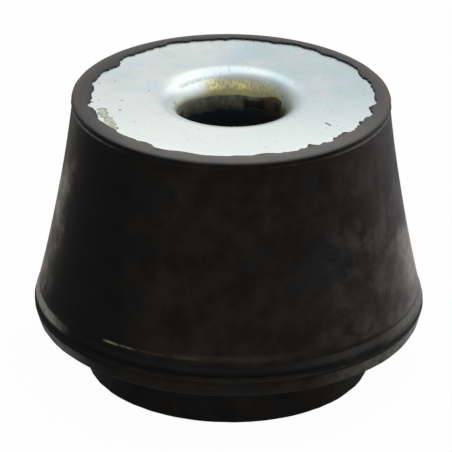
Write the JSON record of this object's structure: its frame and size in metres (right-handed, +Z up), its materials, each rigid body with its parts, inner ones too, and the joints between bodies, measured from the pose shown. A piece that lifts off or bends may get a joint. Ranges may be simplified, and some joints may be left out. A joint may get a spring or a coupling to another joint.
{
  "type": "vibration damper",
  "caption": "Tapered rubber vibration damper with a zinc-plated steel plate bonded into its top, a drawn bolt hole, a beaded rim and a locating spigot under it.",
  "frame": {"origin": "centre of the spigot's foot, on the surface that the damper stands on", "axes": "+Z up along the bolt hole; the body is round about Z, and +X and +Y only place the lap's ragged edge"},
  "size_m": [0.08, 0.08, 0.0595],
  "materials": {
    "moulded_rubber": "moulded, matt black",
    "zinc_plated_steel": "zinc plated, clear passivated"
  },
  "bodies": {
    "root": {"rubber_body": "moulded_rubber", "top_plate": "zinc_plated_steel"}
  },
  "joints": []
}
